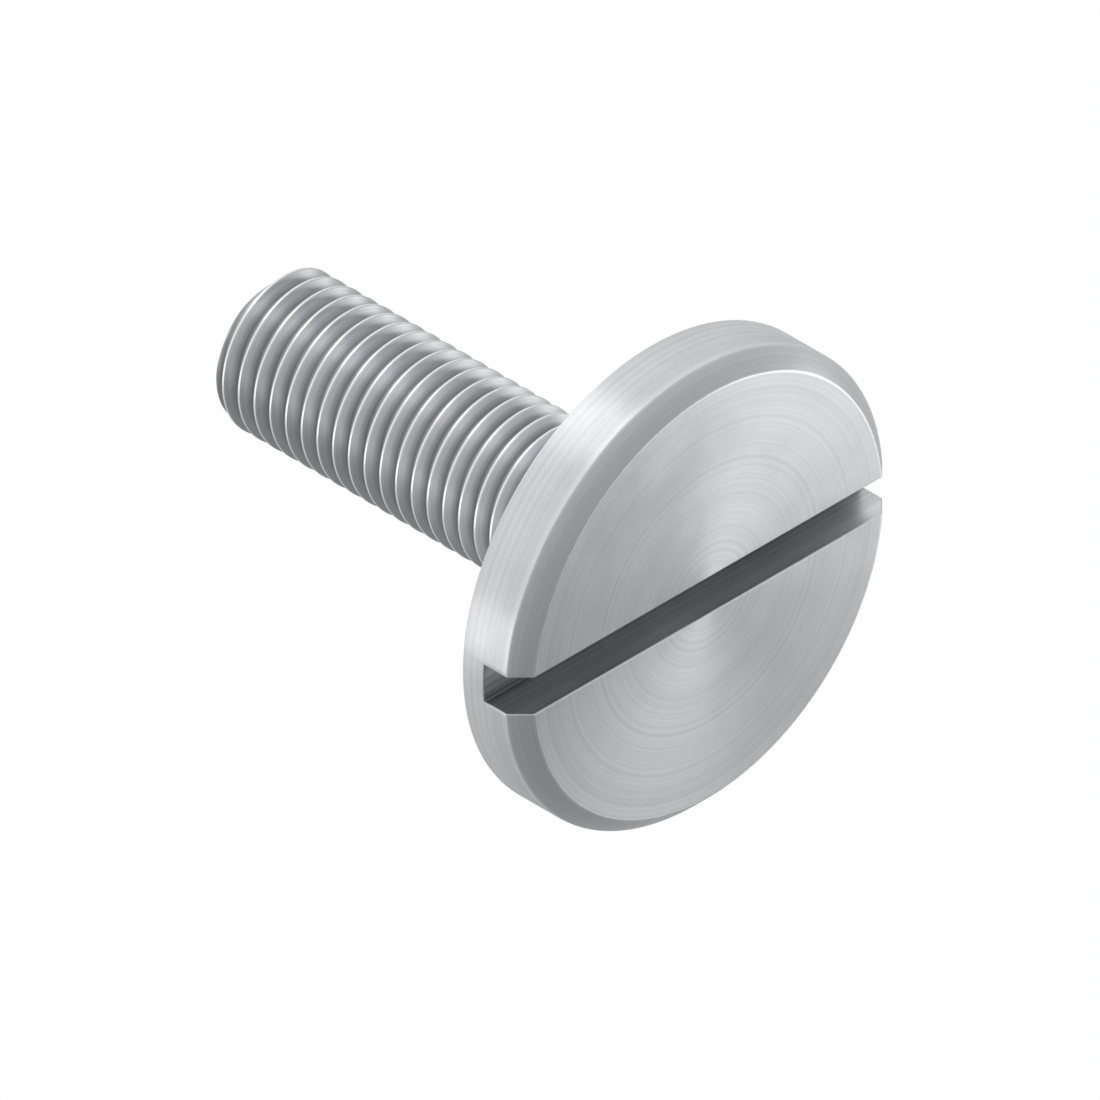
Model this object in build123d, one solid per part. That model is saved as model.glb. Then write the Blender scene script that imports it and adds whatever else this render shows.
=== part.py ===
"""Slotted pan head screw with a large flat head, standing on its head.

The screw's axis is Z. The flat face of the head is at z = 0, the driver slot runs
along Y, and the shank points up. All lengths are in millimetres.
"""

from build123d import *
import math
import os

# ---- sizes that can be set by themselves ------------------------------------------
HEAD_DIAMETER = 12.0
HEAD_THICKNESS = 1.85
HEAD_CHAMFER = 0.45  # 45 degrees, round the slotted face
SLOT_WIDTH = 1.0
SLOT_DEPTH = 1.15
SHANK_LENGTH = 12.0  # from the bearing face to the tip
THREAD_DIAMETER = 4.0  # major diameter
THREAD_PITCH = 0.5
NECK_LENGTH = 0.8  # plain, from the bearing face to the foot of the first ridge
NECK_FILLET = 0.2
TIP_CHAMFER = 0.2  # 45 degrees, so shallow that the groove still notches the end face
RUNOUT_TURNS = 0.75  # over which the groove fades into the neck

# ---- form of an ISO metric thread, as shares of its triangle and of its pitch --------
FLANK_ANGLE = 60.0
GROOVE_SHARE = 17 / 24  # depth of the groove in the triangle's height
PITCH_LINE_SHARE = 3 / 8  # crest to pitch line in the triangle's height
CREST_SHARE = 1 / 8  # flat of the crest in the pitch
CUTTER_PROUD_SHARE = 0.06  # how far the cutter stands out of the crest, in the pitch

# ---- sizes that follow --------------------------------------------------------------
FLANK_SLOPE = math.tan(math.radians(FLANK_ANGLE / 2))
TRIANGLE_HEIGHT = THREAD_PITCH / (2 * FLANK_SLOPE)
CREST_RADIUS = THREAD_DIAMETER / 2
ROOT_RADIUS = CREST_RADIUS - GROOVE_SHARE * TRIANGLE_HEIGHT
PITCH_RADIUS = CREST_RADIUS - PITCH_LINE_SHARE * TRIANGLE_HEIGHT
NECK_RADIUS = PITCH_RADIUS  # the bar that a thread is rolled on
TIP_Z = HEAD_THICKNESS + SHANK_LENGTH
RIDGE_FOOT_Z = HEAD_THICKNESS + NECK_LENGTH
RIDGE_TOP_Z = RIDGE_FOOT_Z + (CREST_RADIUS - NECK_RADIUS)  # a 45 degree lead
FULL_THREAD_Z = RIDGE_TOP_Z


def turned_blank() -> Part:
    """The head, neck and shank as one turned body, before the thread and the slot."""
    head_radius = HEAD_DIAMETER / 2
    corners = [
        (0, 0),
        (head_radius - HEAD_CHAMFER, 0),
        (head_radius, HEAD_CHAMFER),
        (head_radius, HEAD_THICKNESS),
        (NECK_RADIUS, HEAD_THICKNESS),
        (NECK_RADIUS, RIDGE_FOOT_Z),
        (CREST_RADIUS, RIDGE_TOP_Z),
        (CREST_RADIUS, TIP_Z - TIP_CHAMFER),
        (CREST_RADIUS - TIP_CHAMFER, TIP_Z),
        (0, TIP_Z),
    ]
    with BuildPart() as blank:
        with BuildSketch(Plane.YZ) as half:
            with BuildLine():
                Polyline(*corners, close=True)
            make_face()
            under_head = half.vertices().sort_by_distance((NECK_RADIUS, HEAD_THICKNESS))[0]
            fillet(under_head, radius=NECK_FILLET)
        revolve(axis=Axis.Z)
    return blank.part


def groove_section(z: float) -> Sketch:
    """The groove between two ridges, cut along the axis at height z, open outwards."""
    depth = CREST_RADIUS - ROOT_RADIUS
    reach = depth + CUTTER_PROUD_SHARE * THREAD_PITCH
    root_half = THREAD_PITCH * (1 - CREST_SHARE) / 2 - depth * FLANK_SLOPE
    mouth_half = root_half + reach * FLANK_SLOPE
    with BuildSketch(Plane(origin=(ROOT_RADIUS, 0, z), x_dir=(1, 0, 0), z_dir=(0, -1, 0))) as section:
        with BuildLine():
            Polyline((0, -root_half), (reach, -mouth_half), (reach, mouth_half), (0, root_half), close=True)
        make_face()
    return section.sketch


def groove_turn(z: float) -> Part:
    """One right-hand turn of the groove at full depth, climbing from height z."""
    path = Helix(THREAD_PITCH, THREAD_PITCH, ROOT_RADIUS, center=(0, 0, z))
    return sweep(groove_section(z), path=path, is_frenet=True)


def runout(z: float) -> Part:
    """The groove's last stretch: it goes down from height z and out of the neck."""
    fall = RUNOUT_TURNS * THREAD_PITCH
    rise = NECK_RADIUS - ROOT_RADIUS + CUTTER_PROUD_SHARE * THREAD_PITCH
    cone = math.degrees(math.atan2(rise, fall))
    path = Helix(THREAD_PITCH, fall, ROOT_RADIUS, center=(0, 0, z), direction=(0, 0, -1), cone_angle=cone)
    return sweep(groove_section(z), path=Rot(0, 0, 180) * path, is_frenet=True)


def cut_thread(blank: Part) -> Part:
    """The blank with the groove cut turn by turn, from the neck to past the tip."""
    turn = groove_turn(FULL_THREAD_Z)
    count = math.ceil((TIP_Z - FULL_THREAD_Z) / THREAD_PITCH) + 1
    threaded = blank - runout(FULL_THREAD_Z)
    for step in range(count):
        threaded -= Pos(0, 0, step * THREAD_PITCH) * turn
    return threaded


def driver_slot() -> Part:
    """The slot right across the head, open at both rims."""
    across = (Align.CENTER, Align.CENTER, Align.MIN)
    return Box(SLOT_WIDTH, 2 * HEAD_DIAMETER, SLOT_DEPTH, align=across)


def build_screw() -> Part:
    """The whole screw, one solid."""
    return cut_thread(turned_blank()) - driver_slot()


os.makedirs("parts", exist_ok=True)
screw = build_screw()
screw.label = "screw"
export_step(screw, "parts/screw.step")
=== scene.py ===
"""Slotted pan head screw with a fine M4 thread: its dressed model, studio and camera.

The screw stands on its slotted face: z = 0 is the face, +Z runs along the shank to the tip,
and the slot runs along Y. Shapes are modelled in millimetres and scaled to metres at the end.
"""

import logging
import math
from abc import ABC, abstractmethod
from collections.abc import Callable, Iterable
from dataclasses import dataclass, field
from enum import Enum, IntEnum

import bmesh
import bpy
from mathutils import Matrix, Vector


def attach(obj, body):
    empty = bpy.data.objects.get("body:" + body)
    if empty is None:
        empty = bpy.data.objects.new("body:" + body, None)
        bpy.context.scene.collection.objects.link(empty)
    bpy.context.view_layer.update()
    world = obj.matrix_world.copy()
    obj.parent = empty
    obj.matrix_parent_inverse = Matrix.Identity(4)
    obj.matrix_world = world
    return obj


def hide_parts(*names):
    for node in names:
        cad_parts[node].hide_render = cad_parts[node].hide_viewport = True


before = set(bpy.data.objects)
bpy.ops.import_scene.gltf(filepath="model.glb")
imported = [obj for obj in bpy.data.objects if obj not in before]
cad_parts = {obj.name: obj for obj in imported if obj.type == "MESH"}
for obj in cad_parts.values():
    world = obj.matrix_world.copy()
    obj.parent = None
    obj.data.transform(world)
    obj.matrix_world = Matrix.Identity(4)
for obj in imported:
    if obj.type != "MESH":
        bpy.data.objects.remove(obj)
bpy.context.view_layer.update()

log = logging.getLogger("screw")

BODY = "root"
NODE = "screw"

MM = 0.001  # metres
MICRON = 1e-6  # metres
ORIGIN = (0.0, 0.0, 0.0)
UP = (0.0, 0.0, 1.0)
FLANK_TILT = math.radians(30)
TOUCHING = 1e-4  # places nearer to each other than this, in millimetres, are one place
SNAP = 0.002  # a cut moves corners this near onto itself, so that it leaves no slivers

# Sizes in millimetres that more than one class needs.
THREAD_PITCH = 0.5
THREAD_RADIUS = 2.0
NECK_RADIUS = 1.8376

Colour = tuple[float, float, float]
Direction = tuple[float, float, float]
Range = tuple[float, float]
Socket = bpy.types.NodeSocket
Inputs = dict[str | int, object]


class Surface(IntEnum):
    """The three ways the blank was worked, in the order of the mesh's material slots."""

    TURNED = 0
    THREADED = 1
    SAWN = 2


class Kept(Enum):
    """What a cut leaves of a mesh. Ahead is the side that the plane's normal points to."""

    BOTH = "both"
    AHEAD = "ahead"
    BEHIND = "behind"


# ---------------------------------------------------------------- mesh helpers


def edges_where(
    mesh: bmesh.types.BMesh, test: Callable[[Vector], bool], open_only: bool = True
) -> list[bmesh.types.BMEdge]:
    """The edges whose two ends both pass a test.

    Args:
        mesh: The mesh to look through.
        test: Says whether a place in the mesh counts.
        open_only: Whether only edges with a single face count.

    Returns:
        The edges found.
    """
    return [
        edge
        for edge in mesh.edges
        if (edge.is_boundary or not open_only) and all(test(vert.co) for vert in edge.verts)
    ]


def open_ring(mesh: bmesh.types.BMesh, height: float) -> list[bmesh.types.BMEdge]:
    """The open edges that lie flat at one height."""
    return edges_where(mesh, lambda place: abs(place.z - height) < TOUCHING)


def cap(mesh: bmesh.types.BMesh, edges: list[bmesh.types.BMEdge]) -> None:
    """Closes a flat outline with one face."""
    bmesh.ops.contextual_create(mesh, geom=edges)


def cut_across(
    mesh: bmesh.types.BMesh, point: Direction, normal: Direction, kept: Kept = Kept.BOTH
) -> None:
    """Cuts every face that a plane crosses.

    Args:
        mesh: The mesh to cut.
        point: A point on the plane.
        normal: The plane's normal.
        kept: What stays of the mesh.
    """
    bmesh.ops.bisect_plane(
        mesh,
        geom=mesh.verts[:] + mesh.edges[:] + mesh.faces[:],
        dist=SNAP,
        plane_co=point,
        plane_no=normal,
        use_snap_center=True,
        clear_outer=kept is Kept.BEHIND,
        clear_inner=kept is Kept.AHEAD,
    )


def cut_level(mesh: bmesh.types.BMesh, height: float, kept: Kept = Kept.BOTH) -> None:
    """Cuts a mesh at one height. Ahead is above the cut."""
    cut_across(mesh, (0.0, 0.0, height), UP, kept)


def turn_round(
    mesh: bmesh.types.BMesh, steps: int, climb: float = 0.0, closed: bool = True
) -> None:
    """Turns a line once round the axis.

    Args:
        mesh: The mesh, which holds only the line.
        steps: How many steps the turn takes.
        climb: How far the line rises in the whole turn.
        closed: Whether the last line is joined to the first.
    """
    bmesh.ops.spin(
        mesh,
        geom=mesh.verts[:] + mesh.edges[:],
        cent=ORIGIN,
        axis=UP,
        dvec=(0.0, 0.0, climb / steps),
        angle=math.tau,
        steps=steps,
        use_merge=closed,
    )


def round_off(
    mesh: bmesh.types.BMesh, edges: Iterable[bmesh.types.BMEdge], size: float, segments: int
) -> None:
    """Rounds edges over.

    Args:
        mesh: The mesh to change.
        edges: The edges to round.
        size: How far the rounding reaches on each side, in millimetres.
        segments: The number of facets across the rounding.
    """
    bmesh.ops.bevel(
        mesh,
        geom=list(edges),
        offset=size,
        offset_type="OFFSET",
        affect="EDGES",
        segments=segments,
        profile=0.5,
        material=-1,
        clamp_overlap=True,
    )


def within(value: float, low: float = 0.0, high: float = 1.0) -> float:
    """Holds a value between two limits."""
    return min(high, max(low, value))


def soft_least(first: float, second: float, blend: float) -> float:
    """The lesser of two lengths, with the change from one to the other rounded.

    Args:
        first: One length.
        second: The other length.
        blend: How near the two come to each other before the rounding starts.

    Returns:
        The rounded lesser length.
    """
    share = within(0.5 + 0.5 * (second - first) / blend)
    return second + (first - second) * share - blend * share * (1.0 - share)


# ---------------------------------------------------------------- finishes


class Sheet:
    """The node sheet of one material or world, with short ways to add and join nodes."""

    def __init__(self, tree: bpy.types.NodeTree) -> None:
        """Empties the tree that the nodes go to."""
        self.tree = tree
        tree.nodes.clear()

    def add(self, kind: str, inputs: Inputs | None = None, **settings: object) -> bpy.types.Node:
        """Adds a node.

        Args:
            kind: The node's type, without its ShaderNode prefix.
            inputs: Values or sockets for its inputs, by name or number.
            **settings: The node's own settings.

        Returns:
            The new node.
        """
        node = self.tree.nodes.new("ShaderNode" + kind)
        for name, value in settings.items():
            setattr(node, name, value)
        for name, value in (inputs or {}).items():
            if isinstance(value, Socket):
                self.tree.links.new(value, node.inputs[name])
            else:
                node.inputs[name].default_value = value
        return node

    def number(self, operation: str, *values: float | Socket) -> Socket:
        """The result of one Math node."""
        return self.add("Math", dict(enumerate(values)), operation=operation).outputs[0]

    def vector(self, operation: str, *values: Direction | Socket) -> Socket:
        """The result of one Vector Math node that gives a vector."""
        return self.add("VectorMath", dict(enumerate(values)), operation=operation).outputs[0]

    def measure(self, operation: str, *values: Direction | Socket) -> Socket:
        """The result of one Vector Math node that gives a number."""
        node = self.add("VectorMath", dict(enumerate(values)), operation=operation)
        return node.outputs["Value"]

    def scaled(self, vector: Socket, factor: float | Socket) -> Socket:
        """A vector or a colour times a number."""
        inputs = {"Vector": vector, "Scale": factor}
        return self.add("VectorMath", inputs, operation="SCALE").outputs[0]

    def joined(self, *values: float | Socket) -> Socket:
        """A vector made of numbers; those left out are 0."""
        return self.add("CombineXYZ", dict(enumerate(values))).outputs[0]

    def noise(
        self, place: Socket, scale: float, detail: float, unevenness: float, dimensions: int = 3
    ) -> Socket:
        """Soft random bumps.

        Args:
            place: Where the pattern is read.
            scale: Bumps per unit of length.
            detail: How many finer layers lie over them.
            unevenness: How strong the finer layers are.
            dimensions: 2 or 3.

        Returns:
            The height of the bumps, from 0 to 1.
        """
        inputs = {"Vector": place, "Scale": scale, "Detail": detail, "Roughness": unevenness}
        return self.add("TexNoise", inputs, noise_dimensions=f"{dimensions}D").outputs[0]

    def span(
        self, value: Socket, low: float, high: float, to_low: float = 0.0, to_high: float = 1.0
    ) -> Socket:
        """Maps a range of values smoothly onto another and holds them inside it.

        Args:
            value: The socket to map.
            low: The value that becomes to_low.
            high: The value that becomes to_high.
            to_low: The result at low.
            to_high: The result at high.

        Returns:
            The mapped value.
        """
        limits = {"From Min": low, "From Max": high, "To Min": to_low, "To Max": to_high}
        inputs = {"Value": value, **limits}
        return self.add("MapRange", inputs, interpolation_type="SMOOTHSTEP").outputs[0]

    def mix(
        self, share: float | Socket, first: float | Socket, second: float | Socket
    ) -> Socket:
        """Goes from one number to another as the share goes from 0 to 1."""
        return self.add("Mix", {0: share, 2: first, 3: second}, data_type="FLOAT").outputs[0]

    def blend(self, share: Socket, first: Colour | Socket, second: Colour | Socket) -> Socket:
        """Goes from one colour to another.

        Args:
            share: How much of the second colour shows, from 0 to 1.
            first: The first colour.
            second: The second colour.

        Returns:
            The mixed colour.
        """
        first, second = (
            value if isinstance(value, Socket) else (*value, 1.0) for value in (first, second)
        )
        return self.add("Mix", {0: share, 6: first, 7: second}, data_type="RGBA").outputs[2]


@dataclass(frozen=True)
class Marks:
    """Fine parallel lines that a tool leaves: many fine ones over a few broad ones."""

    per_mm: float
    depth_um: float
    contrast: float = 0.07
    fine_detail: float = 2.0
    broad_scale: float = 0.17
    broad_detail: float = 1.0
    broad_share: float = 0.35
    unevenness: float = 0.55
    levels: Range = (0.3, 0.7)  # the heights at which the steel looks darkest and lightest
    dulling: float = 0.08  # how much rougher the steel is on top of the marks


@dataclass(frozen=True)
class Patches:
    """How unevenly an effect lies: weakest where the smudge is low, in full where it's high."""

    low: float
    high: float
    weakest: float


@dataclass(frozen=True)
class Spot:
    """Where on the screw a point lies, as sockets in millimetres, and how smudged it is."""

    place: Socket
    x: Socket
    y: Socket
    height: Socket
    radius: Socket
    smudge: Socket


@dataclass(frozen=True)
class BrightSteel(ABC):
    """Bare bright steel: what the three worked surfaces share."""

    name: str = "bright_steel"
    colour: Colour = (0.66, 0.67, 0.69)
    dull_and_shade_colour: Colour = (0.56, 0.565, 0.58)
    polish_and_highlight_colour: Colour = (0.78, 0.785, 0.80)
    smooth: float = 0.31
    rough: float = 0.36
    rough_levels: Range = (0.34, 0.68)
    polish: float = 0.06
    anisotropy: float = 0.75
    marks: Marks = Marks(10.0, 1.5)
    smudge_mm: float = 2.6
    smudge_detail: float = 4.0
    smudge_unevenness: float = 0.6

    def material(self) -> bpy.types.Material:
        """Builds the node material.

        Returns:
            The new material.
        """
        material = bpy.data.materials.new(self.name)
        material.use_nodes = True
        sheet = Sheet(material.node_tree)
        spot = self._spot(sheet)
        course, way = self._travel(sheet, spot)
        lines = self._lines(sheet, course)
        polish_and_highlight = self._wear_and_highlight(sheet, spot)
        # The dull colour dulls the turned head in clouds of handling, and paints shade into the
        # thread's roots and the slot.
        colour = sheet.blend(self._dullness_and_shade(sheet, spot), self.colour, self.dull_and_shade_colour)
        # The polish colour lightens worn corners and lips, and paints a highlight onto the thread's
        # crests.
        colour = sheet.blend(polish_and_highlight, colour, self.polish_and_highlight_colour)
        contrast = self.marks.contrast
        tint = sheet.span(lines, *self.marks.levels, 1.0 - contrast, 1.0 + contrast)
        rough = sheet.span(spot.smudge, *self.rough_levels, self.smooth, self.rough)
        rough = sheet.number("MULTIPLY_ADD", lines, self.marks.dulling, rough)
        rough = sheet.number("MULTIPLY_ADD", polish_and_highlight, -self.polish, rough)
        depth = self.marks.depth_um * MICRON
        bump = sheet.add("Bump", {"Height": lines, "Strength": 1.0, "Distance": depth})
        normal = sheet.add("NewGeometry").outputs["Normal"]
        shader = sheet.add(
            "BsdfPrincipled",
            {
                "Base Color": sheet.scaled(colour, tint),
                "Metallic": 1.0,
                "Roughness": rough,
                "Anisotropic": self.anisotropy,
                "Tangent": sheet.vector("CROSS_PRODUCT", way, normal),
                "Normal": bump.outputs[0],
            },
        )
        sheet.add("OutputMaterial", {"Surface": shader.outputs[0]})
        return material

    def _spot(self, sheet: Sheet) -> Spot:
        """Works out where on the screw a point lies.

        Args:
            sheet: The material's nodes.

        Returns:
            The point's place, its measures and its smudge.
        """
        place = sheet.scaled(sheet.add("TexCoord").outputs["Object"], 1 / MM)
        split = sheet.add("SeparateXYZ", {0: place}).outputs
        flat = sheet.vector("MULTIPLY", place, (1.0, 1.0, 0.0))
        per_mm = 1 / self.smudge_mm
        smudge = sheet.noise(place, per_mm, self.smudge_detail, self.smudge_unevenness)
        return Spot(
            place=place,
            x=split["X"],
            y=split["Y"],
            height=split["Z"],
            radius=sheet.measure("LENGTH", flat),
            smudge=smudge,
        )

    def _lines(self, sheet: Sheet, course: Socket) -> Socket:
        """Draws the tool marks.

        Args:
            sheet: The material's nodes.
            course: A place that changes across the marks and not along them.

        Returns:
            The height of the marks, from 0 to 1.
        """
        marks = self.marks
        fine, broad = (
            sheet.noise(course, marks.per_mm * scale, detail, marks.unevenness, dimensions=2)
            for scale, detail in ((1.0, marks.fine_detail), (marks.broad_scale, marks.broad_detail))
        )
        return sheet.mix(marks.broad_share, fine, broad)

    def _patchy(self, sheet: Sheet, spot: Spot, effect: Socket, patches: Patches) -> Socket:
        """Makes an effect uneven, as handling does."""
        share = sheet.span(spot.smudge, patches.low, patches.high, patches.weakest)
        return sheet.number("MULTIPLY", effect, share)

    @abstractmethod
    def _travel(self, sheet: Sheet, spot: Spot) -> tuple[Socket, Socket]:
        """A place that changes across the marks and not along them, and the way they run."""

    @abstractmethod
    def _dullness_and_shade(self, sheet: Sheet, spot: Spot) -> Socket:
        """How much handling has dulled the steel, and in the thread's roots and the slot how much
        painted shade darkens it, from 0 to 1.
        """

    @abstractmethod
    def _wear_and_highlight(self, sheet: Sheet, spot: Spot) -> Socket:
        """How much rubbing has polished the steel, and on the thread's crests how much a painted
        highlight lightens it, from 0 to 1.
        """


@dataclass(frozen=True)
class TurnedSteel(BrightSteel):
    """The lathe-turned head: rings on its faces, hoops round its rim, polished corners."""

    name: str = "turned_steel"
    edge_radii: tuple[float, float] = (5.55, 6.0)
    edge_reach: float = 0.09
    edge_heights: Range = (0.62, 0.40)  # where the polish starts and where it is full
    edge_patches: Patches = Patches(0.30, 0.60, 0.35)
    dull_levels: Range = (0.40, 0.75)
    dull_share: float = 0.35

    def _travel(self, sheet: Sheet, spot: Spot) -> tuple[Socket, Socket]:
        """Goes round the axis."""
        course = sheet.joined(sheet.number("ADD", spot.radius, spot.height))
        return course, sheet.vector("CROSS_PRODUCT", UP, spot.place)

    def _dullness_and_shade(self, sheet: Sheet, spot: Spot) -> Socket:
        """Dulls the steel in clouds."""
        return sheet.span(spot.smudge, *self.dull_levels, 0.0, self.dull_share)

    def _wear_and_highlight(self, sheet: Sheet, spot: Spot) -> Socket:
        """Polishes the corners at the chamfer and the rim, more in some places than others.

        Args:
            sheet: The material's nodes.
            spot: Where on the screw a point lies.

        Returns:
            How polished each place is, from 0 to 1.
        """
        inner, outer = (
            sheet.number("ABSOLUTE", sheet.number("SUBTRACT", spot.radius, edge))
            for edge in self.edge_radii
        )
        near_edge = sheet.span(sheet.number("MINIMUM", inner, outer), self.edge_reach, 0.0)
        near_face = sheet.span(spot.height, *self.edge_heights)
        polish = sheet.number("MULTIPLY", near_edge, near_face)
        return self._patchy(sheet, spot, polish, self.edge_patches)


@dataclass(frozen=True)
class ThreadedSteel(BrightSteel):
    """The thread: fine drag lines along the flanks, polished crests lightened by a painted
    highlight, and roots darkened by painted shade.
    """

    name: str = "threaded_steel"
    # Painted shade: the dark colour put into the thread's roots.
    dull_and_shade_colour: Colour = (0.34, 0.34, 0.345)
    smooth: float = 0.27
    rough: float = 0.33
    anisotropy: float = 0.5
    marks: Marks = Marks(16.0, 0.6)
    pitch: float = THREAD_PITCH
    crest_radius: float = THREAD_RADIUS
    root_radius: float = 1.70
    start: Range = (2.45, 2.75)  # heights between which the painted shade in the roots begins
    end: Range = (13.84, 13.74)  # heights between which it ends, from none to all
    root_patches: Patches = Patches(0.30, 0.62, 0.75)
    root_reach: float = 0.06
    crest_reach: float = 0.05
    crest_polish_and_highlight: float = 0.7

    def _travel(self, sheet: Sheet, spot: Spot) -> tuple[Socket, Socket]:
        """Goes along the thread.

        Args:
            sheet: The material's nodes.
            spot: Where on the screw a point lies.

        Returns:
            A place on a circle that is gone round once a pitch, and the way round the axis.
        """
        turned = sheet.number("MULTIPLY", spot.height, math.tau / self.pitch)
        phase = sheet.number("SUBTRACT", turned, sheet.number("ARCTAN2", spot.y, spot.x))
        circle = (sheet.number("COSINE", phase), sheet.number("SINE", phase))
        reach = self.pitch / math.pi
        course = sheet.joined(*(sheet.number("MULTIPLY", place, reach) for place in circle))
        return course, sheet.vector("CROSS_PRODUCT", UP, spot.place)

    def _dullness_and_shade(self, sheet: Sheet, spot: Spot) -> Socket:
        """Darkens the roots with painted shade.

        Args:
            sheet: The material's nodes.
            spot: Where on the screw a point lies.

        Returns:
            How much painted shade darkens each place, from 0 to 1.
        """
        deep = sheet.span(spot.radius, self.crest_radius - self.root_reach, self.root_radius)
        started, not_ended = (
            sheet.span(spot.height, *heights) for heights in (self.start, self.end)
        )
        threaded = sheet.number("MULTIPLY", started, not_ended)
        # Painted shade in the roots, from the neck to just short of the tip.
        root_shade = sheet.number("MULTIPLY", deep, threaded)
        return self._patchy(sheet, spot, root_shade, self.root_patches)

    def _wear_and_highlight(self, sheet: Sheet, spot: Spot) -> Socket:
        """Polishes the crests and lightens their colour with a painted highlight."""
        start = self.crest_radius - self.crest_reach
        # Painted highlight: the crests are made lighter in colour as well as smoother.
        return sheet.span(spot.radius, start, self.crest_radius, 0.0, self.crest_polish_and_highlight)


@dataclass(frozen=True)
class SawnSteel(BrightSteel):
    """The slot: straight saw lines along its walls and floor, worn bright lips, and painted shade
    darkening its floor and corners.
    """

    name: str = "sawn_steel"
    # Painted shade: the dark colour put into the slot's floor and corners.
    dull_and_shade_colour: Colour = (0.30, 0.30, 0.31)
    smooth: float = 0.28
    rough: float = 0.42
    anisotropy: float = 0.5
    marks: Marks = Marks(11.0, 1.8, contrast=0.16)
    half_width: float = 0.5
    depth: float = 1.15
    floor_scale: float = 0.83  # keeps the floor's lines from matching the walls'
    lip: float = 0.06
    lip_patches: Patches = Patches(0.35, 0.60, 0.3)
    corner_reach: float = 0.55
    floor_shade: float = 0.6
    shade_patches: Patches = Patches(0.30, 0.62, 0.8)

    def _travel(self, sheet: Sheet, spot: Spot) -> tuple[Socket, Socket]:
        """Goes straight along the slot."""
        down = sheet.number("MULTIPLY_ADD", spot.x, self.floor_scale, spot.height)
        return sheet.joined(down), sheet.joined(0.0, 1.0)

    def _dullness_and_shade(self, sheet: Sheet, spot: Spot) -> Socket:
        """Darkens the bottom of the slot with painted shade, most of all its two corners.

        Args:
            sheet: The material's nodes.
            spot: Where on the screw a point lies.

        Returns:
            How much painted shade darkens each place, from 0 to 1.
        """
        to_wall = sheet.number("SUBTRACT", self.half_width, sheet.number("ABSOLUTE", spot.x))
        to_floor = sheet.number("SUBTRACT", self.depth, spot.height)
        to_corner = sheet.number("ADD", to_wall, to_floor)
        corner = sheet.span(to_corner, self.corner_reach, 0.0)
        deep = sheet.span(to_floor, self.depth, 0.0, 0.0, self.floor_shade)
        # Painted shade, darkest in the two corners of the floor.
        slot_shade = sheet.number("MAXIMUM", corner, deep)
        return self._patchy(sheet, spot, slot_shade, self.shade_patches)

    def _wear_and_highlight(self, sheet: Sheet, spot: Spot) -> Socket:
        """Polishes the lips of the slot, where a screwdriver rubs."""
        lips = sheet.span(spot.height, self.lip, 0.0)
        return self._patchy(sheet, spot, lips, self.lip_patches)


# ---------------------------------------------------------------- the screw's shapes


@dataclass(frozen=True)
class ThreadForm:
    """The profile of the 60 degree thread and its place along the axis.

    Shares are distances along the axis from the middle of a crest, in pitches.
    """

    crest_radius: float = THREAD_RADIUS
    pitch: float = THREAD_PITCH
    crest_edge: float = 1 / 16
    root_edge: float = 3 / 8
    first_groove: float = 2.8124  # height of the groove's middle where the full thread starts
    runout_turns: float = 0.75
    runout_rise: float = 0.1743
    edge_blend: float = 0.014

    def cut_depth(self, share: float) -> float:
        """Depth of the groove below the sharp corner of crest and flank.

        Args:
            share: Distance from the middle of the crest in pitches, from 0 to 0.5.

        Returns:
            The depth in millimetres, less than 0 over the crest.
        """
        flank = (min(share, self.root_edge) - self.crest_edge) * self.pitch
        depth = flank / math.tan(FLANK_TILT)
        if share <= self.root_edge:
            return depth
        arc = (0.5 - self.root_edge) * self.pitch / math.cos(FLANK_TILT)
        across = (0.5 - share) * self.pitch
        return depth + math.sqrt(max(0.0, arc**2 - across**2)) - arc * math.sin(FLANK_TILT)

    def groove_radius(self, angle: float, height: float) -> float:
        """Distance from the axis to the groove's surface, which climbs anticlockwise.

        Args:
            angle: Angle round the axis, from 0 to a full turn.
            height: Height along the axis.

        Returns:
            The distance in millimetres; it grows past the blank over the crests and below
            the runout.
        """
        climb = self.pitch * angle / math.tau
        turn = round((height - self.first_groove - climb) / self.pitch)
        middle = self.first_groove + climb + turn * self.pitch
        share = 0.5 - abs(height - middle) / self.pitch
        before_start = max(0.0, (self.first_groove - middle) / self.pitch)
        shallower = before_start / self.runout_turns * self.runout_rise
        return self.crest_radius - self.cut_depth(share) + shallower


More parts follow.
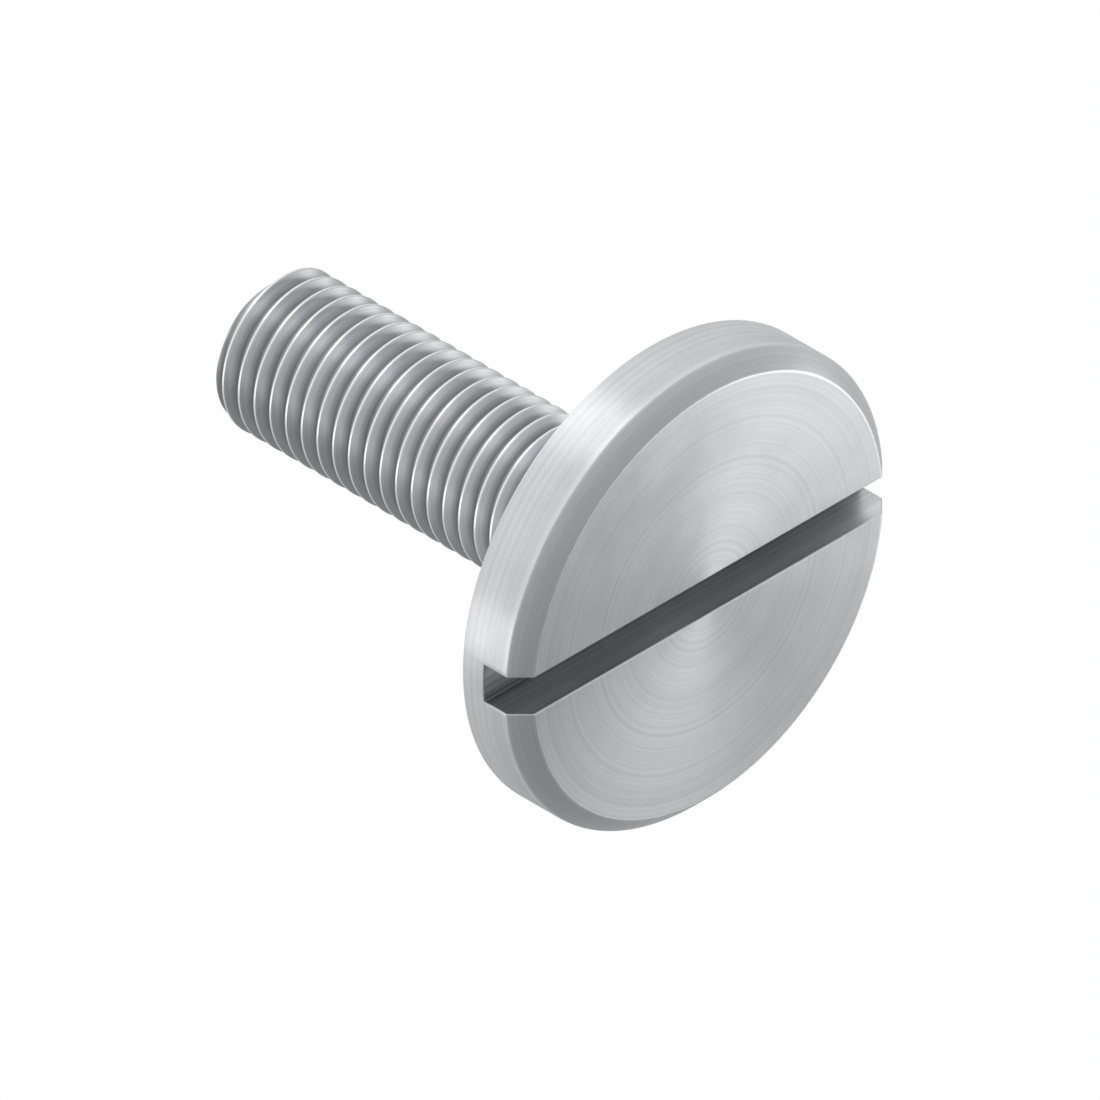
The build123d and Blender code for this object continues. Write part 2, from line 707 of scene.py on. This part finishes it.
@dataclass
class ThreadedShank:
    """The shank: a relieved neck under the head, then the thread, then the chamfered tip."""

    form: ThreadForm = ThreadForm()
    neck_radius: float = NECK_RADIUS
    foot: float = 2.30  # where this mesh starts on the neck
    ridge_foot: float = 2.65  # where the neck starts to widen to the thread's crests
    foot_blend: float = 0.06
    foot_row: float = 0.03
    foot_rows: range = range(-4, 12)  # extra level rows, counted from the ridge's foot
    tip: float = 13.85
    tip_chamfer: float = 0.2
    tip_rounding: float = 0.03
    steps: int = 144
    rows: tuple[float, ...] = (0.042, 0.053, 0.063, 0.074, 0.088, 0.22, 0.375, 0.42, 0.46)

    @property
    def row_shares(self) -> list[float]:
        """Where the rows of one pitch lie, from a crest to the next, in shares of the pitch."""
        return [0.0, *self.rows, 0.5, *(1.0 - share for share in reversed(self.rows))]

    def turned_radius(self, height: float) -> float:
        """Radius of the blank before its thread was cut.

        Args:
            height: Height along the axis.

        Returns:
            The blank's radius there.
        """
        crest = self.form.crest_radius
        rise = -soft_least(0.0, self.ridge_foot - height, self.foot_blend)
        ridge = soft_least(crest, self.neck_radius + rise, self.foot_blend)
        chamfer = crest - self.tip_chamfer + (self.tip - height)
        over = max(0.0, self.tip_rounding - (self.tip - height))
        edge = self.tip_rounding - math.sqrt(max(0.0, self.tip_rounding**2 - over**2))
        return min(ridge, chamfer) - edge

    def radius(self, angle: float, height: float) -> float:
        """Radius of the finished shank at one place.

        Args:
            angle: Angle round the axis.
            height: Height along the axis.

        Returns:
            The radius with the groove cut and its edges eased, most of all in the runout.
        """
        up = within((height - self.ridge_foot) / self.form.pitch)
        blend = self.foot_blend + (self.form.edge_blend - self.foot_blend) * up
        groove = self.form.groove_radius(angle, height)
        return soft_least(self.turned_radius(height), groove, blend)

    def build(self) -> bmesh.types.BMesh:
        """Models the shank as a band that climbs one pitch a turn, so that its rows follow the
        crests, flanks and roots.

        Returns:
            The shank, open only at its foot.
        """
        mesh = bmesh.new()
        self._draw_seam(mesh)
        turn_round(mesh, self.steps, climb=self.form.pitch, closed=False)
        bmesh.ops.remove_doubles(mesh, verts=mesh.verts[:], dist=TOUCHING)
        cut_level(mesh, self.foot, Kept.AHEAD)
        cut_level(mesh, self.tip, Kept.BEHIND)
        for height in (self.tip - self.tip_chamfer, self.tip - self.tip_rounding):
            cut_level(mesh, height)
        for row in self.foot_rows:
            cut_level(mesh, self.ridge_foot + row * self.foot_row)
        for vert in mesh.verts:
            angle = math.atan2(vert.co.y, vert.co.x) % math.tau
            radius = self.radius(angle, vert.co.z)
            vert.co.xy = radius * math.cos(angle), radius * math.sin(angle)
        cap(mesh, open_ring(mesh, self.tip))
        return mesh

    def _draw_seam(self, mesh: bmesh.types.BMesh) -> None:
        """Draws the upright line that is turned round, with a point on each row.

        Args:
            mesh: The empty mesh that gets the line.
        """
        pitch, shares = self.form.pitch, self.row_shares
        crest = self.form.first_groove - pitch / 2
        start = crest - math.ceil((crest - self.foot) / pitch + 1) * pitch
        count = (math.ceil((self.tip - start) / pitch) + 1) * len(shares)
        radius = self.form.crest_radius
        ends = [mesh.verts.new((radius, 0.0, height)) for height in (0.0, float(count))]
        bmesh.ops.subdivide_edges(mesh, edges=[mesh.edges.new(ends)], cuts=count - 1)
        for vert in mesh.verts:
            turn, row = divmod(round(vert.co.z), len(shares))
            vert.co.z = start + (turn + shares[row]) * pitch


@dataclass
class PanHead:
    """The cylindrical head: slotted face, chamfer, rim, bearing face and the root of the neck."""

    radius: float = 6.0
    thickness: float = 1.85
    chamfer: float = 0.45
    slot_width: float = 1.0
    slot_depth: float = 1.15
    neck_radius: float = NECK_RADIUS
    neck_fillet: float = 0.2
    neck_end: float = 2.24
    edge_break: float = 0.035
    rim_break: float = 0.07
    slack: float = 0.01  # how far off a radius or a depth an edge may lie and still be found
    sharp_fold: float = math.radians(30)
    break_facets: int = 3
    fillet_facets: int = 6
    steps: int = 120

    def build(self) -> bmesh.types.BMesh:
        """Models the head by turning its profile, sawing the slot and easing the edges.

        Returns:
            The head, open only at the end of its neck.
        """
        mesh = bmesh.new()
        self._turn(mesh)
        self._saw(mesh)
        self._ease(mesh)
        return mesh

    def in_slot(self, place: Vector, slack: float = 0.0) -> bool:
        """Whether a place is in the slot.

        Args:
            place: The place in millimetres.
            slack: How far outside the slot still counts.

        Returns:
            True in the slot.
        """
        return abs(place.x) < self.slot_width / 2 + slack and place.z < self.slot_depth + slack

    def _rear_edges(
        self, mesh: bmesh.types.BMesh, nearest: float, farthest: float
    ) -> list[bmesh.types.BMEdge]:
        """The edges in the rear face that lie between two distances from the axis.

        Args:
            mesh: The head.
            nearest: The lesser distance.
            farthest: The greater distance.

        Returns:
            The edges found.
        """

        def counts(place: Vector) -> bool:
            """Whether a place is in the rear face and between the two distances."""
            level = abs(place.z - self.thickness) < TOUCHING
            return level and nearest < place.xy.length < farthest

        return edges_where(mesh, counts, open_only=False)

    def _turn(self, mesh: bmesh.types.BMesh) -> None:
        """Turns the profile round the axis, closes the face and rounds the neck's root.

        Args:
            mesh: The empty mesh that gets the turned head.
        """
        corners = (
            (self.radius - self.chamfer, 0.0),
            (self.radius, self.chamfer),
            (self.radius, self.thickness),
            (self.neck_radius, self.thickness),
            (self.neck_radius, self.neck_end),
        )
        verts = [mesh.verts.new((across, 0.0, height)) for across, height in corners]
        for pair in zip(verts, verts[1:]):
            mesh.edges.new(pair)
        turn_round(mesh, self.steps)
        cap(mesh, open_ring(mesh, 0.0))
        root = self._rear_edges(mesh, 0.0, self.neck_radius + self.slack)
        round_off(mesh, root, self.neck_fillet, self.fillet_facets)

    def _saw(self, mesh: bmesh.types.BMesh) -> None:
        """Cuts the slot across the face and closes its two walls and its floor.

        Args:
            mesh: The turned head.
        """
        sides = (self.slot_width / 2, -self.slot_width / 2)
        for side in sides:
            cut_across(mesh, (side, 0.0, 0.0), (1.0, 0.0, 0.0))
        cut_level(mesh, self.slot_depth)
        waste = [face for face in mesh.faces if self.in_slot(face.calc_center_median())]
        bmesh.ops.delete(mesh, geom=waste, context="FACES")
        for side in sides:
            wall = edges_where(mesh, lambda place: abs(place.x - side) < TOUCHING)
            ends = dict.fromkeys(vert for edge in wall for vert in edge.verts)
            feet = [vert for vert in ends if abs(vert.co.z - self.slot_depth) < TOUCHING]
            foot = bmesh.ops.contextual_create(mesh, geom=feet)["edges"]
            cap(mesh, wall + foot)
        cap(mesh, open_ring(mesh, self.slot_depth))

    def _ease(self, mesh: bmesh.types.BMesh) -> None:
        """Takes the sharpness off every edge, as tumbling does.

        Args:
            mesh: The slotted head.
        """
        bmesh.ops.recalc_face_normals(mesh, faces=mesh.faces[:])
        rear = self._rear_edges(mesh, self.radius - self.slack, math.inf)
        round_off(mesh, rear, self.rim_break, self.break_facets)
        front = edges_where(
            mesh, lambda place: place.z < self.slot_depth + self.slack, open_only=False
        )
        sharp = [edge for edge in front if edge.calc_face_angle(0.0) > self.sharp_fold]
        round_off(mesh, sharp, self.edge_break, self.break_facets)


@dataclass
class Screw:
    """The whole screw: the head and the shank joined into one closed skin."""

    head: PanHead = field(default_factory=PanHead)
    shank: ThreadedShank = field(default_factory=ThreadedShank)
    name: str = "slotted_pan_head_screw"
    rear_reach: float = 0.02  # how far above its rear face the head's finish still goes
    sharp_fold: float = math.radians(50)

    def build(self) -> bpy.types.Object:
        """Models and dresses the screw, and hangs it on its body in the frame.

        Returns:
            The finished object.
        """
        skin = self._join()
        self._sort_surfaces(skin)
        self._report(skin)
        bmesh.ops.scale(skin, vec=(MM, MM, MM), verts=skin.verts[:])
        mesh = bpy.data.meshes.new(self.name)
        skin.to_mesh(mesh)
        skin.free()
        mesh.shade_smooth()
        mesh.set_sharp_from_angle(angle=self.sharp_fold)
        for finish in self._finishes():
            mesh.materials.append(finish.material())
        screw = bpy.data.objects.new(self.name, mesh)
        bpy.context.scene.collection.objects.link(screw)
        evened = screw.modifiers.new("even_normals", "WEIGHTED_NORMAL")
        evened.keep_sharp = True
        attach(screw, BODY)
        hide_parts(NODE)
        return screw

    def _join(self) -> bmesh.types.BMesh:
        """Models the head and the shank, and joins them at the neck.

        Returns:
            The closed skin, in millimetres.
        """
        skin = bmesh.new()
        for part in (self.head.build(), self.shank.build()):
            spare = bpy.data.meshes.new("spare")
            part.to_mesh(spare)
            part.free()
            skin.from_mesh(spare)
            bpy.data.meshes.remove(spare)
        neck = open_ring(skin, self.head.neck_end) + open_ring(skin, self.shank.foot)
        bmesh.ops.bridge_loops(skin, edges=neck)
        bmesh.ops.recalc_face_normals(skin, faces=skin.faces[:])
        return skin

    def _sort_surfaces(self, skin: bmesh.types.BMesh) -> None:
        """Gives each face the finish of the way it was worked.

        Args:
            skin: The joined skin, in millimetres.
        """
        rear = self.head.thickness + self.rear_reach
        tip_edge = self.shank.tip - self.shank.tip_rounding
        for face in skin.faces:
            middle = face.calc_center_median()
            if self.head.in_slot(middle, slack=self.head.edge_break / 2):
                face.material_index = Surface.SAWN
            elif rear < middle.z < tip_edge:
                face.material_index = Surface.THREADED
            else:
                face.material_index = Surface.TURNED

    def _report(self, skin: bmesh.types.BMesh) -> None:
        """Logs the skin's size and whether it is closed.

        Args:
            skin: The joined skin, in millimetres.
        """
        leaks = sum(not edge.is_manifold for edge in skin.edges)
        volume = skin.calc_volume(signed=True)
        count = len(skin.faces)
        log.info("%s: %d faces, %d leaks, %.2f cubic mm", self.name, count, leaks, volume)

    def _finishes(self) -> tuple[BrightSteel, ...]:
        """Chooses the finishes and gives them the sizes of this screw's shapes.

        Returns:
            The finishes, in the order of Surface.
        """
        head, form = self.head, self.shank.form
        return (
            TurnedSteel(edge_radii=(head.radius - head.chamfer, head.radius)),
            ThreadedSteel(pitch=form.pitch, crest_radius=form.crest_radius),
            SawnSteel(half_width=head.slot_width / 2, depth=head.slot_depth),
        )


# ---------------------------------------------------------------- the studio


@dataclass(frozen=True)
class StudioFloor:
    """A pale floor that melts into the white backdrop a little way from the screw."""

    name: str = "studio_floor"
    colour: Colour = (0.90, 0.90, 0.90)
    drop: float = 0.02 * MM
    half_side: float = 40 * MM
    solid_to: float = 12 * MM
    gone_at: float = 24 * MM

    def build(self) -> bpy.types.Object:
        """Lays the floor. Only a camera above it sees it, so light passes it from below.

        Returns:
            The floor.
        """
        mesh = bmesh.new()
        place = Matrix.Translation((0.0, 0.0, -self.drop))
        bmesh.ops.create_grid(
            mesh, x_segments=1, y_segments=1, size=self.half_side, matrix=place
        )
        data = bpy.data.meshes.new(self.name)
        mesh.to_mesh(data)
        mesh.free()
        data.materials.append(self._material())
        floor = bpy.data.objects.new(self.name, data)
        bpy.context.scene.collection.objects.link(floor)
        return floor

    def _material(self) -> bpy.types.Material:
        """The floor's material: matt and pale from above, clear to everything else.

        Returns:
            The new material.
        """
        material = bpy.data.materials.new("pale_floor")
        material.use_nodes = True
        sheet = Sheet(material.node_tree)
        away = sheet.measure("LENGTH", sheet.add("TexCoord").outputs["Object"])
        near = sheet.span(away, self.gone_at, self.solid_to)
        front = sheet.number("SUBTRACT", 1.0, sheet.add("NewGeometry").outputs["Backfacing"])
        seen = sheet.add("LightPath").outputs["Is Camera Ray"]
        shown = sheet.number("MULTIPLY", sheet.number("MULTIPLY", near, front), seen)
        clear = sheet.add("BsdfTransparent").outputs[0]
        matt = sheet.add("BsdfDiffuse", {"Color": (*self.colour, 1.0)}).outputs[0]
        mixed = sheet.add("MixShader", {0: shown, 1: clear, 2: matt}).outputs[0]
        sheet.add("OutputMaterial", {"Surface": mixed})
        return material


@dataclass(frozen=True)
class Backdrop:
    """White behind the screw. The steel mirrors it as a sweep that is white on its bright side
    and falls off to grey, so that faces which look different ways have different tones.
    """

    name: str = "backdrop"
    bright_side: Direction = (0.55, -0.15, 0.82)
    reach: float = 0.9  # how far towards each side the sweep goes on changing, at most 1
    white: float = 1.0
    shaded: float = 0.28
    plain: float = 0.82

    def build(self) -> bpy.types.World:
        """Makes the world.

        Returns:
            The new world.
        """
        world = bpy.data.worlds.new(self.name)
        world.use_nodes = True
        bpy.context.scene.world = world
        sheet = Sheet(world.node_tree)
        way = sheet.add("TexCoord").outputs["Generated"]
        facing = sheet.measure("DOT_PRODUCT", way, Vector(self.bright_side).normalized())
        sweep = sheet.span(facing, -self.reach, self.reach, self.shaded, self.white)
        rays = sheet.add("LightPath").outputs
        mirrored = sheet.number("MAXIMUM", rays["Is Glossy Ray"], rays["Is Transmission Ray"])
        level = sheet.mix(mirrored, self.plain, sweep)
        level = sheet.mix(rays["Is Camera Ray"], level, self.white)
        light = sheet.add("Background", {"Color": (1.0, 1.0, 1.0, 1.0), "Strength": level})
        sheet.add("OutputWorld", {"Surface": light.outputs[0]})
        return world


@dataclass(frozen=True)
class SoftLamp:
    """A square soft box that looks at the middle of the screw."""

    name: str
    towards: Direction
    side: float
    brightness: float
    distance: float = 60 * MM
    target: Direction = (0.0, 0.0, 6.0 * MM)

    def build(self) -> bpy.types.Object:
        """Hangs the lamp.

        Returns:
            The lamp.
        """
        data = bpy.data.lights.new(self.name, "AREA")
        data.shape = "SQUARE"
        data.size = self.side
        data.energy = self.brightness * math.pi * self.side**2
        lamp = bpy.data.objects.new(self.name, data)
        way = Vector(self.towards).normalized()
        lamp.location = Vector(self.target) + way * self.distance
        lamp.rotation_mode = "QUATERNION"
        lamp.rotation_quaternion = way.to_track_quat("Z", "Y")
        bpy.context.scene.collection.objects.link(lamp)
        return lamp


@dataclass(frozen=True)
class IsometricCamera:
    """A parallel view of the slotted face from below, at equal angles to all three axes."""

    name: str = "isometric_camera"
    back: Direction = (1.0, -1.0, -1.0)
    right: Direction = (0.0, 1.0, -1.0)
    aim: Direction = (0.8466 * MM, -2.0954 * MM, 2.942 * MM)
    width: float = 24.73 * MM
    distance: float = 60 * MM
    nearest: float = 1 * MM
    farthest: float = 1000 * MM

    def build(self) -> bpy.types.Object:
        """Sets up the camera and makes it the scene's own.

        Returns:
            The camera.
        """
        data = bpy.data.cameras.new(self.name)
        data.type = "ORTHO"
        data.ortho_scale = self.width
        data.clip_start = self.nearest
        data.clip_end = self.farthest
        camera = bpy.data.objects.new(self.name, data)
        back = Vector(self.back).normalized()
        right = Vector(self.right).normalized()
        turn = Matrix((right, back.cross(right), back)).transposed()
        camera.rotation_mode = "QUATERNION"
        camera.rotation_quaternion = turn.to_quaternion()
        camera.location = Vector(self.aim) + back * self.distance
        bpy.context.scene.collection.objects.link(camera)
        bpy.context.scene.camera = camera
        return camera


@dataclass(frozen=True)
class Studio:
    """Everything round the screw: floor, backdrop, lamps and camera."""

    floor: StudioFloor = StudioFloor()
    backdrop: Backdrop = Backdrop()
    camera: IsometricCamera = IsometricCamera()
    lamps: tuple[SoftLamp, ...] = (
        SoftLamp("key_lamp", towards=(0.80, -0.10, 0.50), side=26 * MM, brightness=1.1),
        SoftLamp("fill_lamp", towards=(-0.25, -0.80, 0.45), side=26 * MM, brightness=0.9),
        SoftLamp("low_lamp", towards=(-0.24, 0.75, -0.62), side=44 * MM, brightness=1.25),
        SoftLamp("top_lamp", towards=(0.10, 0.20, 1.00), side=36 * MM, brightness=1.0),
    )

    def build(self) -> None:
        """Builds the floor, the backdrop, each lamp and the camera, and reports each."""
        bpy.context.scene.view_settings.view_transform = "Standard"
        for thing in (self.floor, self.backdrop, *self.lamps, self.camera):
            log.info("%s is in place", thing.build().name)


def main() -> None:
    """Builds the screw and its studio, and reports each piece."""
    logging.basicConfig(level=logging.INFO, format="%(name)s: %(message)s")
    Screw().build()
    Studio().build()


if __name__ == "__main__":
    main()
